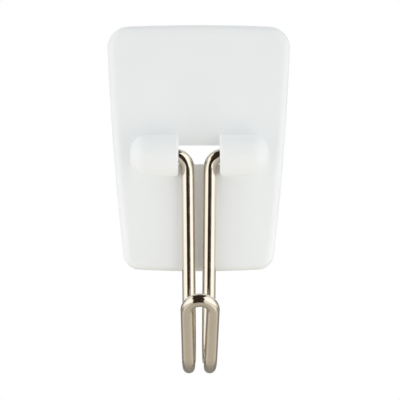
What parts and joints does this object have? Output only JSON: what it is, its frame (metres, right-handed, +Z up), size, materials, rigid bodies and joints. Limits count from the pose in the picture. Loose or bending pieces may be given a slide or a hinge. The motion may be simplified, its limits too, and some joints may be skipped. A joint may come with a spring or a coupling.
{
  "type": "wire wall hook",
  "caption": "Small wall hook: a tapered white plastic plate whose bullet-shaped bosses hold a bent nickel-plated wire hook that swings up, for hanging light things.",
  "frame": {"origin": "middle of the plate's flat back, on the wall", "axes": "+Z up the wall, +X to the right seen from the front, +Y into the wall, so the hook stands out towards -Y"},
  "size_m": [0.022, 0.0159, 0.0417],
  "materials": {
    "white_plastic": "satin",
    "nickel_wire": "polished"
  },
  "bodies": {
    "base": {"base_plate": "white_plastic"},
    "hook": {"wire_hook": "nickel_wire"}
  },
  "joints": [
    {"name": "hook_swing", "type": "hinge", "parent": "base", "child": "hook", "pos_m": [0, -0.00335, -0.0008], "axis": [-1, 0, 0], "range_deg": [0, 150]}
  ]
}
